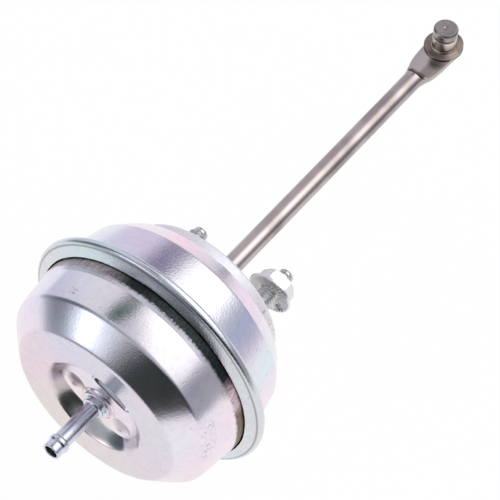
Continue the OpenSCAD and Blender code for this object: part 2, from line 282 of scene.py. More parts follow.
def axisAngle(tree, place):
    # angle about the rod's axis as 0 to 1, 0.75 at the top, then x and the radius
    parts = addNode(tree, "ShaderNodeSeparateXYZ")
    tree.links.new(place, parts.inputs[0])
    angle = mathNode(tree, "ARCTAN2", parts.outputs[2], parts.outputs[1])
    squares = [mathNode(tree, "MULTIPLY", parts.outputs[i], parts.outputs[i]) for i in (1, 2)]
    radius = mathNode(tree, "SQRT", mathNode(tree, "ADD", *squares))
    return mathNode(tree, "ADD", mathNode(tree, "DIVIDE", angle, 2 * math.pi), 0.5), parts.outputs[0], radius


def frontTint(tree, place, colour, v):
    # the face and the low side are pink to cream, the wall lavender at the top and pink below
    angle, x, radius = axisAngle(tree, place)
    around = [(0.0, v["pink"]), (0.20, v["cream"]), (0.5, v["pink"]), (0.68, v["lavender"]), (0.78, v["body"]), (0.9, v["pink"])]
    up = [(0.0, v["pink"]), (0.55, v["pink"]), (0.64, v["lavender"]), (0.72, v["cream"]), (0.78, v["body"]), (0.9, v["body"]),
          (0.96, v["pink"])]
    base = mixColours(tree, rampNode(tree, angle, around), rampNode(tree, angle, up), rangeNode(tree, x, -0.0425, -0.0415))
    face = rangeNode(tree, x, -0.0484, -0.0491)
    base = mixColours(tree, base, (0.84, 0.79, 0.8), face, "MULTIPLY")
    return mixColours(tree, base, colour, 0.45)


def rearTint(tree, place, colour, v):
    angle, x, radius = axisAngle(tree, place)
    around = [(0.0, v["pink"]), (0.08, v["cyan"]), (0.45, v["pink"]), (0.58, v["cyan"]), (0.70, v["lavender"]), (0.8, v["body"]),
              (0.9, v["lavender"]), (0.94, v["cyan"]), (0.985, v["pink"])]
    bevel = [(0.0, v["cyan"]), (0.6, v["cyan"]), (0.68, v["body"]), (0.73, v["rose"]), (0.79, v["body"]), (0.86, v["rose"]),
             (0.93, v["body"])]
    base = mixColours(tree, rampNode(tree, angle, around), rampNode(tree, angle, bevel), rangeNode(tree, x, -0.0115, -0.0105))
    onRim = rangeNode(tree, x, -0.0235, -0.0242)
    base = mixColours(tree, base, v["rim"], mathNode(tree, "MULTIPLY", onRim, 0.8))
    return mixColours(tree, base, colour, 0.35)


def scuff(tree, place, colour, marks):
    # small dull scratches and pits, each near one place
    for at, reach, strength in marks:
        away = addNode(tree, "ShaderNodeVectorMath", operation="DISTANCE")
        away.inputs[1].default_value = [c * mm for c in at]
        tree.links.new(place, away.inputs[0])
        near = rangeNode(tree, away.outputs["Value"], reach * mm, reach * mm * 0.3)
        pits = rangeNode(tree, noiseNode(tree, place, 1300, 3.0, 0.7), 0.53, 0.62)
        amount = mathNode(tree, "MULTIPLY", mathNode(tree, "MULTIPLY", near, pits), strength)
        colour = mixColours(tree, colour, (0.2, 0.2, 0.21), amount)
    return colour


frontMarks = [((-38.9, 15.0, 31.0), 2.0, 0.9), ((-40.2, -32.4, 11.0), 3.4, 0.6), ((-41.0, -33.8, 5.0), 3.4, 0.6),
              ((-42.3, -33.7, 1.5), 2.6, 0.6), ((-49.5, -24.7, -7.8), 1.6, 0.8), ((-45.5, -20.0, 23.0), 2.5, 0.4)]
# painted shade for the dish's dimples: centre, reach, colour
dimpleShades = [((-47, 7.6, 3.0), 3.4, (0.3, 0.26, 0.25)), ((-47, -8.4, -4.2), 3.0, (0.6, 0.47, 0.66))]
discMarks = [((-2.0, -23.6, 9.9), 1.6, 0.8), ((-2.4, -21.6, 13.8), 1.4, 0.8), ((-1.5, -24.8, 6.0), 2.0, 0.6)]


def frontWearAndShade(tree, place, colour, rough):
    # the strip between the wall and the folded lip is raw and brown at its ends, and painted shade from the crimp
    # darkens it in between
    angle, x, radius = axisAngle(tree, place)
    raw, dark, pink, grey = (0.24, 0.19, 0.14), (0.035, 0.045, 0.045), (0.78, 0.6, 0.66), (0.5, 0.46, 0.47)
    stops = [(0.0, raw), (0.06, raw), (0.5, raw), (0.575, raw), (0.61, grey), (0.68, grey), (0.735, dark), (0.905, dark), (0.925, pink),
             (0.95, pink), (0.965, raw)]
    strip = rampNode(tree, angle, stops, "LINEAR")
    ragged = mathNode(tree, "MULTIPLY", mathNode(tree, "SUBTRACT", noiseNode(tree, place, 900, 3.0, 0.7), 0.5), 0.0016)
    inside = rangeNode(tree, mathNode(tree, "ADD", x, ragged), -0.0316, -0.0308)
    fibres = rampNode(tree, noiseNode(tree, place, 2200, 2.0, 0.6, (0.25, 1, 1)), [(0.35, (0.45, 0.45, 0.45)), (0.65, (1.5, 1.45, 1.4))])
    strip = mixColours(tree, strip, fibres, 0.6, "MULTIPLY")
    colour = mixColours(tree, colour, strip, inside)
    rough = mathNode(tree, "MAXIMUM", rough, mathNode(tree, "MULTIPLY", inside, 0.4))
    colour = scuff(tree, place, colour, frontMarks)
    # painted shade in the troughs and the ring of the dish: a dark tone that comes and goes round the ring
    troughShadeTones = [(0.0, (0.8, 0.76, 0.78)), (0.1, (0.6, 0.6, 0.64)), (0.16, (0.56, 0.6, 0.74)), (0.2, (0.72, 0.82, 0.86)),
             (0.25, (0.95, 1, 1)), (0.33, (0.6, 0.62, 0.64)), (0.42, (0.6, 0.6, 0.6)), (0.455, (0.6, 0.62, 0.66)),
             (0.49, (0.42, 0.4, 0.46)), (0.53, (0.24, 0.2, 0.22)), (0.57, (0.36, 0.31, 0.32)), (0.64, (1, 1, 1)), (1.0, (0.9, 0.88, 0.9))]
    ring = mathNode(tree, "MULTIPLY", rangeNode(tree, radius, 0.0169, 0.0157), rangeNode(tree, radius, 0.0118, 0.0134))
    deep = rangeNode(tree, x, -0.0472, -0.0463)
    troughShade = mathNode(tree, "MULTIPLY", mathNode(tree, "MAXIMUM", ring, deep), rangeNode(tree, radius, 0.0169, 0.0157))
    troughShade = mathNode(tree, "MULTIPLY", troughShade, rangeNode(tree, radius, 0.0056, 0.0062))
    colour = mixColours(tree, colour, rampNode(tree, angle, troughShadeTones), troughShade, "MULTIPLY")
    # painted shade on each dimple, darker towards one side
    for centre, reach, tone in dimpleShades:
        off = addNode(tree, "ShaderNodeVectorMath", operation="SUBTRACT")
        off.inputs[1].default_value = [c * mm for c in centre]
        tree.links.new(place, off.inputs[0])
        size = addNode(tree, "ShaderNodeVectorMath", operation="LENGTH")
        tree.links.new(off.outputs[0], size.inputs[0])
        side = addNode(tree, "ShaderNodeVectorMath", operation="DOT_PRODUCT")
        side.inputs[1].default_value = (0, -0.743, 0.669)
        tree.links.new(off.outputs[0], side.inputs[0])
        near = rangeNode(tree, size.outputs["Value"], reach * mm, reach * mm * 0.9)
        amount = mathNode(tree, "MULTIPLY", near, rangeNode(tree, side.outputs["Value"], -0.2 * reach * mm, 0.8 * reach * mm))
        colour = mixColours(tree, colour, tone, amount, "MULTIPLY")
    return colour, rough


def rearCreaseShade(tree, place, colour, rough):
    # painted shade along the crease round the folded rim
    angle, x, radius = axisAngle(tree, place)
    off = mathNode(tree, "ABSOLUTE", mathNode(tree, "SUBTRACT", radius, 0.0391))
    line = mathNode(tree, "MULTIPLY", rangeNode(tree, off, 0.0004, 0.00012), rangeNode(tree, x, -0.0246, -0.0252))
    colour = mixColours(tree, colour, (0.3, 0.27, 0.26), mathNode(tree, "MULTIPLY", line, 0.75))
    return colour, rough


def discDirt(tree, place, colour, rough):
    return scuff(tree, place, colour, discMarks), rough


stainless = {
    "light": (0.55, 0.485, 0.47),
    "dark": (0.36, 0.31, 0.30),
    "roughness": (0.18, 0.28),
    "lineScale": 900.0,
}


def groundSteel(name, look=None, along=(0.02, 1, 1), dirtAndShade=None):
    # ground or turned stainless: fine lines that run one way
    v = dict(stainless, **(look or {}))
    material, tree, shader, place = nodeKit(name)
    lines = noiseNode(tree, place, v["lineScale"], 3.0, 0.6, along)
    cloud = noiseNode(tree, place, 80, 2.0, 0.5)
    colour = rampNode(tree, cloud, [(0.3, v["dark"]), (0.62, v["light"])])
    colour = mixColours(tree, colour, rampNode(tree, lines, [(0.3, (0.8, 0.8, 0.8)), (0.7, (1, 1, 1))]), 0.5, "MULTIPLY")
    if dirtAndShade:
        colour = dirtAndShade(tree, place, colour)
    tree.links.new(colour, shader.inputs["Base Color"])
    shader.inputs["Metallic"].default_value = 1.0
    tree.links.new(rangeNode(tree, lines, 0.3, 0.7, *v["roughness"]), shader.inputs["Roughness"])
    bumpChain(tree, shader, [(lines, 0.1, 0.0001)])
    return material


def flatStepShade(tree, place, colour):
    # painted shade: a dark corner at the step of the rod's flat, and one half of the flat duller and darker
    angle, x, radius = axisAngle(tree, place)
    parts = addNode(tree, "ShaderNodeSeparateXYZ")
    tree.links.new(place, parts.inputs[0])
    above = rangeNode(tree, parts.outputs[2], 0.0008, 0.00095)
    step = mathNode(tree, "MULTIPLY", rangeNode(tree, x, 0.1044, 0.1034), rangeNode(tree, x, 0.1005, 0.1009))
    step = mathNode(tree, "MULTIPLY", step, rangeNode(tree, radius, 0.0030, 0.0027))
    colour = mixColours(tree, colour, (0.26, 0.22, 0.21), mathNode(tree, "MULTIPLY", step, above), "MULTIPLY")
    level = mathNode(tree, "MULTIPLY", above, rangeNode(tree, parts.outputs[2], 0.0013, 0.00115))
    half = mathNode(tree, "MULTIPLY", rangeNode(tree, parts.outputs[1], 0.0004, -0.0009), rangeNode(tree, x, 0.1034, 0.1036))
    return mixColours(tree, colour, (0.55, 0.52, 0.52), mathNode(tree, "MULTIPLY", level, half), "MULTIPLY")


def pinShadeAndHighlight(tree, place, colour):
    # painted shade on the head and collar, and a painted highlight on the lighter straw-coloured neck between them
    parts = addNode(tree, "ShaderNodeSeparateXYZ")
    tree.links.new(place, parts.inputs[0])
    stops = [(0.0, (0.46, 0.41, 0.38)), (0.19, (0.34, 0.3, 0.28)), (0.24, (1, 0.93, 0.84)), (0.63, (1, 0.95, 0.9)), (0.66, (0.5, 0.49, 0.49)),
             (0.95, (0.44, 0.43, 0.43))]
    height = rampNode(tree, mathNode(tree, "MULTIPLY", parts.outputs[2], 100), stops, "LINEAR")
    return mixColours(tree, colour, height, 1.0, "MULTIPLY")


def ringSteel(name, centre, axis="z", look=None, pitch=0.00022, dirtAndShade=None):
    # turned steel with concentric tool marks about an axis
    v = dict(stainless, **(look or {}))
    material, tree, shader, place = nodeKit(name)
    parts = addNode(tree, "ShaderNodeSeparateXYZ")
    shift = addNode(tree, "ShaderNodeVectorMath", operation="SUBTRACT")
    shift.inputs[1].default_value = centre
    tree.links.new(place, shift.inputs[0])
    tree.links.new(shift.outputs[0], parts.inputs[0])
    across = {"z": (0, 1), "x": (1, 2)}[axis]
    sides = [mathNode(tree, "POWER", mathNode(tree, "ABSOLUTE", parts.outputs[i]), 2) for i in across]
    reach = mathNode(tree, "SQRT", mathNode(tree, "ADD", *sides))
    depth = parts.outputs[2 if axis == "z" else 0]
    rings = mathNode(tree, "SINE", mathNode(tree, "MULTIPLY", mathNode(tree, "ADD", reach, depth), 2 * math.pi / pitch))
    wobble = noiseNode(tree, place, 1500, 2.0, 0.5)
    height = mathNode(tree, "ADD", rings, mathNode(tree, "MULTIPLY", wobble, 1.5))
    cloud = noiseNode(tree, place, 260, 2.0, 0.5)
    colour = rampNode(tree, cloud, [(0.3, v["dark"]), (0.65, v["light"])])
    if dirtAndShade:
        colour = dirtAndShade(tree, place, colour)
    tree.links.new(colour, shader.inputs["Base Color"])
    shader.inputs["Metallic"].default_value = 1.0
    shader.inputs["Anisotropic"].default_value = v.get("brushed", 0.0)
    across = addNode(tree, "ShaderNodeTangent")
    across.direction_type = "RADIAL"
    across.axis = axis.upper()
    tree.links.new(across.outputs[0], shader.inputs["Tangent"])
    tree.links.new(rangeNode(tree, height, -1, 2.5, *v["roughness"]), shader.inputs["Roughness"])
    bumpChain(tree, shader, [(height, 0.12, 0.00004)])
    return material


def plainRubber(name, colour=(0.03, 0.03, 0.032)):
    material, tree, shader, place = nodeKit(name)
    grain = noiseNode(tree, place, 1800, 4.0, 0.6)
    tree.links.new(rampNode(tree, grain, [(0.3, colour), (0.7, tuple(c * 1.8 for c in colour))]), shader.inputs["Base Color"])
    tree.links.new(rangeNode(tree, grain, 0.3, 0.7, 0.6, 0.75), shader.inputs["Roughness"])
    bumpChain(tree, shader, [(grain, 0.25, 0.0002)])
    return material


def innerSteel(name, light=(0.62, 0.63, 0.65), roughness=(0.3, 0.42)):
    return groundSteel(name, {"light": light, "dark": tuple(c * 0.72 for c in light), "roughness": roughness}, (1, 1, 1))


frontPlate = zincPlate("frontPlate", None, frontTint, frontWearAndShade)
rearPlate = zincPlate("rearPlate", {"peel": 0.2}, rearTint, rearCreaseShade)
discLook = {"film": 0.2, "body": (0.97, 0.97, 0.97), "roughness": (0.6, 0.7), "peelScale": 700.0, "peel": 0.5, "speckle": 0.2}
discPlate = zincPlate("discPlate", discLook, None, discDirt)
nutLook = {"peelScale": 2600.0, "film": 0.2, "roughness": (0.26, 0.34), "body": (0.8, 0.81, 0.82), "peel": 0.08}
nutPlate = zincPlate("nutPlate", nutLook)
threadLook = {"film": 0.1, "roughness": (0.2, 0.3), "body": (0.62, 0.63, 0.63), "peelScale": 900.0, "peel": 0.4, "speckle": 0.8}
threadSteel = zincPlate("threadSteel", threadLook)
nippleLook = {"peelScale": 2600.0, "film": 0.25, "roughness": (0.16, 0.26), "body": (0.72, 0.76, 0.82), "peel": 0.1}
nippleSteel = zincPlate("nippleSteel", nippleLook)
rodSteel = groundSteel("rodSteel", None, (0.02, 1, 1), flatStepShade)
pinLook = {"light": (0.8, 0.74, 0.7), "dark": (0.62, 0.565, 0.53), "brushed": 0.6}
pinSteel = ringSteel("pinSteel", (0.1171, 0, 0), "z", pinLook, 0.00022, pinShadeAndHighlight)
rubberBlack = plainRubber("rubberBlack")
springSteel = innerSteel("springSteel", (0.42, 0.42, 0.44), (0.24, 0.34))
pressedSteel = innerSteel("pressedSteel")
bushBronze = innerSteel("bushBronze", (0.56, 0.4, 0.22), (0.35, 0.5))
seatPlastic = plainRubber("seatPlastic", (0.05, 0.05, 0.055))
print("materials made")

# front can

frontCan = {
    "sheet": 0.7,
    "faceX": -49.55, "faceR": 26.6,
    "coneX": -42.3, "coneR": 34.0,
    "wallR": 35.1, "beadOut": 0.45, "beadWide": 5.3, "beadRise": 1.4, "flangeX": -25.75, "flangeR": 37.8,
    "crown": 0.16,
    "dishR": 15.3, "wallWide": 2.2, "lipWide": 1.9, "pocket": 5.0, "bridge": 2.0, "bridgeTurn": 26.0,
    "islandLong": 12.5, "islandWide": 6.5, "islandSlope": 2.7, "upperFrom": 9.6,
    "dimpleAt": 9.0, "dimpleUp": -1.2, "dimpleR": 4.3, "dimpleDeep": 1.3, "grooveR": 5.2,
    "holeR": 2.6, "around": 300,
}


def dishDepth(y, z):
    v = frontCan
    a = math.radians(v["bridgeTurn"])
    u = y * math.cos(a) + z * math.sin(a)
    w = -y * math.sin(a) + z * math.cos(a)
    r = math.hypot(y, z)
    # the trough below the island, and the short one above it
    reach = (abs(u / v["islandLong"]) ** 3 + abs(w / v["islandWide"]) ** 3) ** (1 / 3)
    low = smoothStep(0.0, 1.0, (reach - 1) * v["islandWide"] / v["islandSlope"])
    low *= 1 - smoothStep(0.5, 4.5, w)
    high = smoothStep(v["upperFrom"] - 0.8, v["upperFrom"] + 1.2, w) * (1 - smoothStep(4.0, 7.5, abs(u)))
    floor = v["bridge"] + (v["pocket"] - v["bridge"]) * max(low, high)
    # a round dimple near each end of the island
    for end in (1, -1):
        away = math.hypot(u - end * v["dimpleAt"], w - v["dimpleUp"]) / v["dimpleR"]
        if away < 1.15:
            floor += v["dimpleDeep"] * (1 - smoothStep(0.2, 1.02, away)) * (1 - max(low, high))
    # a fine groove round the nipple's collar
    floor += 0.8 * math.exp(-((r - v["grooveR"]) / 0.45) ** 2)
    wall = 1 - smoothStep(v["dishR"] - v["wallWide"], v["dishR"] + v["lipWide"], r)
    return floor * wall


def makeFrontCan():
    v = frontCan
    t = v["sheet"]
    outer = [[v["flangeR"], v["flangeX"] - t / 2, 0],
             [v["wallR"] + v["beadOut"], v["flangeX"] - t / 2, 0.3],
             [v["wallR"] + v["beadOut"], v["flangeX"] - v["beadWide"], 0.7],
             [v["wallR"], v["flangeX"] - v["beadWide"] - v["beadRise"], 0.7],
             [v["coneR"] + 0.05, v["coneX"], 2.0],
             [v["faceR"], v["faceX"], 2.6],
             [v["dishR"] + 2.8, v["faceX"], 0]]
    line = [p for p, n in spread(bend(outer, 8), 0.8)]
    wallEnd = v["flangeX"] - v["beadWide"] - v["beadRise"]
    for p in line:
        if v["coneX"] < p.y < wallEnd:
            p.x += v["crown"] * math.sin(math.pi * (p.y - v["coneX"]) / (wallEnd - v["coneX"]))
        elif v["faceX"] < p.y < v["coneX"]:
            along = math.sin(math.pi * (p.y - v["faceX"]) / (v["coneX"] - v["faceX"]))
            p.x += v["crown"] * 0.5 * along
            p.y -= v["crown"] * 0.5 * along
    rings = 80
    for k in range(1, rings + 1):
        line.append(Vector((v["dishR"] + 2.8 + (v["holeR"] - v["dishR"] - 2.8) * k / rings, v["faceX"])))
    around = v["around"]
    verts, faces = [], []
    count = len(line)
    for j in range(around):
        a = 2 * math.pi * j / around
        for r, x in line:
            y, z = r * math.cos(a), r * math.sin(a)
            if r < v["dishR"] + 2.6 and x < v["coneX"]:
                x = v["faceX"] + dishDepth(y, z)
            verts.append((x, y, z))
    for j in range(around):
        k = (j + 1) % around
        for i in range(count - 1):
            faces.append((j * count + i, j * count + i + 1, k * count + i + 1, k * count + i))
    obj = makeObject("frontCanShell", verts, faces, frontPlate, 50)
    # the recalculated normals of an open skin may point either way, so turn them outwards
    mesh = bmesh.new()
    mesh.from_mesh(obj.data)
    mesh.faces.ensure_lookup_table()
    probe = min(mesh.faces, key=lambda f: (f.calc_center_median() - Vector((-0.0455, 0, 0.0306))).length)
    if probe.normal.z < 0:
        bmesh.ops.reverse_faces(mesh, faces=mesh.faces)
    mesh.to_mesh(obj.data)
    mesh.free()
    solid = obj.modifiers.new("sheet", "SOLIDIFY")
    solid.thickness = t * mm
    solid.offset = -1
    solid.use_even_offset = True
    applyModifiers(obj)
    return obj


def applyModifiers(obj):
    graph = bpy.context.evaluated_depsgraph_get()
    mesh = bpy.data.meshes.new_from_object(obj.evaluated_get(graph))
    obj.modifiers.clear()
    old = obj.data
    obj.data = mesh
    bpy.data.meshes.remove(old)


front = makeFrontCan()
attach(front, "housing")
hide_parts("front_can")
print("front can made")

# rear can with its folded rim

rearCan = {
    "sheet": 0.7,
    "holeR": 6.0, "endX": -5.1, "endR": 29.5,
    "shoulderX": -11.0, "shoulderR": 33.8, "wallR": 36.65,
    "rimBackX": -23.9, "rimR": 40.2, "rimFrontX": -26.1, "lipSlope": 24.0, "lipR": 35.9,
    "raggedness": 0.09,
}


def makeRearCan():
    v = rearCan
    t = v["sheet"]
    h = t / 2
    rise = (v["rimR"] - h - v["lipR"]) * math.tan(math.radians(v["lipSlope"]))
    path = [[v["holeR"], v["endX"] - h, 0],
            [v["endR"] - h, v["endX"] - h, 1.6],
            [v["shoulderR"] - h, v["shoulderX"] - h, 1.6],
            [v["wallR"] - h, v["rimBackX"] - h, 0.9],
            [v["rimR"] - h, v["rimBackX"] - h, 1.0],
            [v["rimR"] - h, v["rimFrontX"], 0.8],
            [v["lipR"], v["rimFrontX"] - rise, 0]]
    loop = sheetLoop(path, t)
    lipTip = v["rimFrontX"] - rise

    def ragged(i, r, x, a):
        # the folded lip's cut edge is a little uneven
        near = max(0.0, 1 - abs(r - v["lipR"]) / 1.2) * (1 if x < lipTip + 1.0 else 0)
        wave = math.sin(a * 7 + 1.3) * 0.5 + math.sin(a * 23 + 0.4) * 0.3 + math.sin(a * 61) * 0.2
        return r + near * v["raggedness"] * wave, x + near * v["raggedness"] * 0.6 * math.sin(a * 11 + 2)

    return turn("rearCanShell", loop, rearPlate, 320, True, ragged, 50)


rear = makeRearCan()
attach(rear, "housing")
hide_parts("rear_can")

# mounting disc and seal cover

mountingDisc = {"radius": 25.6, "thick": 5.1, "edge": 1.4, "bore": 6.0}


def makeMountingDisc():
    v = mountingDisc
    path = [[v["bore"], -v["thick"], 0], [v["radius"], -v["thick"], 0.25], [v["radius"], 0, v["edge"]], [v["bore"], 0, 0.2],
            [v["bore"], -v["thick"], 0]]
    loop = [p for p, n in spread(bend(path[:-1], 8), 1.2)]
    return turn("mountingDisc", loop, discPlate, 288, True, None, 50)


disc = makeMountingDisc()
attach(disc, "housing")
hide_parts("mounting_disc")

# hose nipple

nipple = {
    "bore": 2.05, "tube": 2.6, "mouthX": -67.5, "bead": 3.1, "beadBack": 4.0, "rootX": -47.55, "rootIn": -46.35, "collar": 4.7,
}


def makeNipple():
    v = nipple
    m, b, root = v["mouthX"], v["mouthX"] + v["beadBack"], v["rootX"]
    t, c = v["tube"], v["collar"]
    path = [[v["bore"], v["rootIn"] + 0.5, 0], [v["bore"], m + 0.1, 0.25], [v["bore"] + 0.35, m, 0.15], [t + 0.1, m, 0.25],
            [t + 0.12, m + 1.8, 0.8], [t + 0.1, b - 1.5, 0.5], [v["bead"], b - 0.9, 0.35], [v["bead"], b + 0.1, 0.25],
            [t, b + 0.4, 0.3], [t, root - 2.5, 0.1], [t + 0.8, root - 2.3, 0.15], [t + 0.8, root - 1.7, 0.1],
            [t + 0.35, root - 1.65, 0.03], [t + 0.35, root - 1.0, 0.05], [c, root - 1.1, 0.3], [c, root + 0.7, 0.05],
            [t, root + 0.7, 0.02], [t, v["rootIn"], 0.02],
            [c - 0.2, v["rootIn"], 0.05], [c - 0.2, v["rootIn"] + 0.5, 0.05]]
    path.append([v["bore"], v["rootIn"] + 0.5, 0])
    loop = [p for p, n in spread(bend(path[:-1], 5), 1.0)]
    return turn("hoseNipple", loop, nippleSteel, 128, True, None, 40)


tube = makeNipple()
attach(tube, "housing")
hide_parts("hose_nipple")
print("rear can, disc and nipple made")

# studs and flange nut

studs = {"radius": 3.0, "gap": 31.4, "turn": -12.3, "length": 17.8, "base": -5.1, "pitch": 1.0, "deep": 0.45, "dog": 2.25, "dogLong": 1.3}


def studPlace(side):
    rotate = Matrix.Rotation(math.radians(studs["turn"]), 3, "X")
    return rotate @ Vector((0, side * studs["gap"] / 2, 0))


def threadDip(phase):
    # 0 at the crest, 1 at the root
    p = phase % 1.0
    up = abs(p - 0.5) * 2
    return 1 - smoothStep(0.12, 0.88, up)


def makeStud(name, side):
    v = studs
    rows = []
    end = v["length"] - 2.0
    x = v["base"]
    while x < end:
        rows.append((v["radius"], x, 1.0))
        x += v["pitch"] / 10
    rows += [(v["radius"], end, 1.0), (v["dog"] + 0.15, v["length"] - v["dogLong"], 0.0), (v["dog"], v["length"] - v["dogLong"] + 0.05, 0),
             (v["dog"], v["length"] - 0.35, 0), (v["dog"] - 0.3, v["length"], 0), (0.6, v["length"], 0), (0.02, v["length"], 0)]
    around = 56
    verts, faces = [], []
    count = len(rows)
    for j in range(around):
        a = 2 * math.pi * j / around
        for r, x, cut in rows:
            if cut:
                fade = smoothStep(1.4, 2.6, x) * cut
                r = r - v["deep"] * fade * threadDip(x / v["pitch"] - a / (2 * math.pi))
            verts.append((x, r * math.cos(a), r * math.sin(a)))
    for j in range(around):
        k = (j + 1) % around
        for i in range(count - 1):
            faces.append((j * count + i, j * count + i + 1, k * count + i + 1, k * count + i))
    faces.append(tuple(j * count for j in range(around)))
    faces.append(tuple(j * count + count - 1 for j in range(around)))
    obj = makeObject(name, verts, faces, threadSteel, 60)
    at = studPlace(side)
    return stand(obj, None, at)


for studName, studSide in (("stud_left", 1), ("stud_right", -1)):
    made = makeStud("studThread" + ("Left" if studSide > 0 else "Right"), studSide)
    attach(made, "housing")
    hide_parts(studName)

nut = {"x": 9.0, "height": 5.3, "flats": 10.0, "flange": 7.1, "bore": 3.0, "teeth": 34, "toothDeep": 0.5, "turn": -12.3}


def makeNut():
    v = nut
    around = 360
    x0, x1 = v["x"], v["x"] + v["height"]
    half = v["flats"] / 2
    corner = half / math.cos(math.radians(30))

    def hexR(a):
        s = (a + math.pi / 6) % (math.pi / 3) - math.pi / 6
        return half / math.cos(s)

    rows = [("bore", v["bore"], x1 - 0.5), ("bore", v["bore"], x0 + 0.6), ("bore", v["bore"] + 0.6, x0 + 0.05),
            ("tooth", v["bore"] + 1.1, x0), ("tooth", v["flange"] - 2.0, x0), ("tooth", v["flange"] - 0.7, x0), ("flat", v["flange"] - 0.25, x0 + 0.02),
            ("flat", v["flange"], x0 + 0.3), ("flat", v["flange"], x0 + 0.75), ("flat", v["flange"] - 0.25, x0 + 1.0),
            ("cone", v["flange"] - 1.0, x0 + 1.35)]
    rows += [("hex", 0, x0 + 1.5 + k * 0.3) for k in range(1, 9)]
    rows += [("top", corner - 0.1, x1 - 0.62), ("top", corner - 0.35, x1 - 0.35), ("top", half - 0.05, x1 - 0.02), ("flat", half - 0.5, x1),
             ("flat", v["bore"] + 0.55, x1)]
    count = len(rows)
    verts, faces = [], []
    for j in range(around):
        a = 2 * math.pi * j / around
        for kind, r, x in rows:
            if kind == "hex":
                r = hexR(a)
            elif kind == "cone":
                r = max(r, hexR(a) + 0.15)
            elif kind == "top":
                r = min(r, hexR(a))
            elif kind == "tooth":
                t = (a / (2 * math.pi) * v["teeth"]) % 1.0
                x = x + v["toothDeep"] * (t if t < 0.85 else (1 - t) / 0.15 * 0.85)
            verts.append((x, r * math.cos(a), r * math.sin(a)))
    for j in range(around):
        k = (j + 1) % around
        for i in range(count):
            n = (i + 1) % count
            faces.append((j * count + i, j * count + n, k * count + n, k * count + i))
    obj = makeObject("flangeNut", verts, faces, nutPlate, 24)
    return stand(obj, Matrix.Rotation(math.radians(v["turn"]), 3, "X"), studPlace(-1))


flangeNut = makeNut()
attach(flangeNut, "housing")
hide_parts("flange_nut")
print("studs and nut made")

# push rod and lever pin

rodShape = {
    "radius": 3.0, "neck": 2.5, "tipX": -44.95, "shoulderX": -37.85, "pinX": 117.1, "stepX": 103.4, "stepR": 2.1,
    "top": 1.0, "thick": 3.0, "tipR": 5.15, "tipX2": 119.1, "flareX": 100.0, "underLong": 5.0, "edge": 0.22,
    "swell": [(0.0, 0.0), (0.12, 1.3), (0.4, 2.5), (0.75, 4.0), (1.15, 5.2), (1.45, 6.4), (1.7, 8.2), (1.9, 11.0), (2.0, 14.5)],
}


def smoothLine(points, rounds=3):
    # cuts the corners of a drawn line again and again
    line = [Vector(p) for p in points]
    for _ in range(rounds):
        cut = [line[0]]
        for a, b in zip(line, line[1:]):
            cut += [a.lerp(b, 0.25), a.lerp(b, 0.75)]
        cut.append(line[-1])
        line = cut
    return line


def spinSolid(name, loop, material, around=96):
    # a closed solid turned about the rod's axis, from a line of (radius, x)
    verts, faces = [], []
    count = len(loop)
    for j in range(around):
        a = 2 * math.pi * j / around
        verts += [(x, r * math.cos(a), r * math.sin(a)) for r, x in loop]
    for j in range(around):
        k = (j + 1) % around
        faces += [(j * count + i, j * count + i + 1, k * count + i + 1, k * count + i) for i in range(count - 1)]
    faces.append(tuple(j * count for j in range(around)))
    faces.append(tuple(j * count + count - 1 for j in range(around)))
    return makeObject(name, verts, faces, material, 40)


def cutAway(obj, tool):
    cutter = obj.modifiers.new("cut", "BOOLEAN")
    cutter.operation = "DIFFERENCE"
    cutter.solver = "EXACT"
    cutter.object = tool
    applyModifiers(obj)
    bpy.data.objects.remove(tool)


def makeRod():
    v = rodShape
    loop = [(0.02, v["tipX"]), (v["neck"] - 0.4, v["tipX"]), (v["neck"], v["tipX"] + 0.4), (v["neck"], v["shoulderX"]),
            (v["radius"] - 0.1, v["shoulderX"]), (v["radius"], v["shoulderX"] + 0.1)]
    x = v["shoulderX"] + 1
    while x < v["flareX"] - 1:
        loop.append((v["radius"], x))
        x += 2.5
    swell = [(v["flareX"] + along, v["radius"] + out) for out, along in v["swell"]] + [(v["tipX2"], v["tipR"])]
    loop += [(q.y, q.x) for q in smoothLine(swell)]
    for k in range(1, 20):
        a = math.pi / 2 * k / 20
        loop.append((v["tipR"] * math.cos(a), v["tipX2"] + v["tipR"] * math.sin(a)))
    bar = spinSolid("pushRod", loop, rodSteel)
    # what is milled off above and below, as a prism across the rod
    far, wide = v["pinX"] + 12, 8
    low = v["top"] - v["thick"]
    arc = [(v["stepX"] - v["stepR"] * math.sin(a), v["top"] + v["stepR"] * (1 - math.cos(a))) for a in
           [math.pi / 2 * k / 12 for k in range(13)]]
    above = [(far, v["top"])] + arc + [(v["stepX"] - v["stepR"], 9), (far, 9)]
    rise = v["stepX"] + v["stepR"]
    below = [(far, low), (rise, low), (rise - v["underLong"] * 0.45, low - 0.35), (rise - v["underLong"], -v["radius"] - 0.35),
             (rise - v["underLong"], -9), (far, -9)]
    for outline in (above, below):
        n = len(outline)
        verts = [(x, -wide, z) for x, z in outline] + [(x, wide, z) for x, z in outline]
        faces = [tuple(range(n)), tuple(range(n, 2 * n))] + [(i, (i + 1) % n, n + (i + 1) % n, n + i) for i in range(n)]
        cutAway(bar, makeObject("rodCutter", verts, faces, rodSteel, 40))
    soften = bar.modifiers.new("edge", "BEVEL")
    soften.width = v["edge"] * mm
    soften.segments = 3
    soften.limit_method = "ANGLE"
    soften.angle_limit = math.radians(40)
    applyModifiers(bar)
    shown = bmesh.new()
    shown.from_mesh(bar.data)
    for face in shown.faces:
        face.smooth = True
    for edge in shown.edges:
        edge.smooth = not (len(edge.link_faces) == 2 and edge.calc_face_angle(0) > math.radians(40))
    shown.to_mesh(bar.data)
    shown.free()
    return bar


rod = makeRod()
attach(rod, "push_rod")
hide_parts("rod")

pin = {
    "x": 117.1, "radius": 3.8, "top": 9.7, "collar": 6.1, "collarIn": 0.9, "collarOut": 0.5,
    "seat": 1.0, "under": -2.0, "shank": 2.5, "grooveDown": 2.6,
}


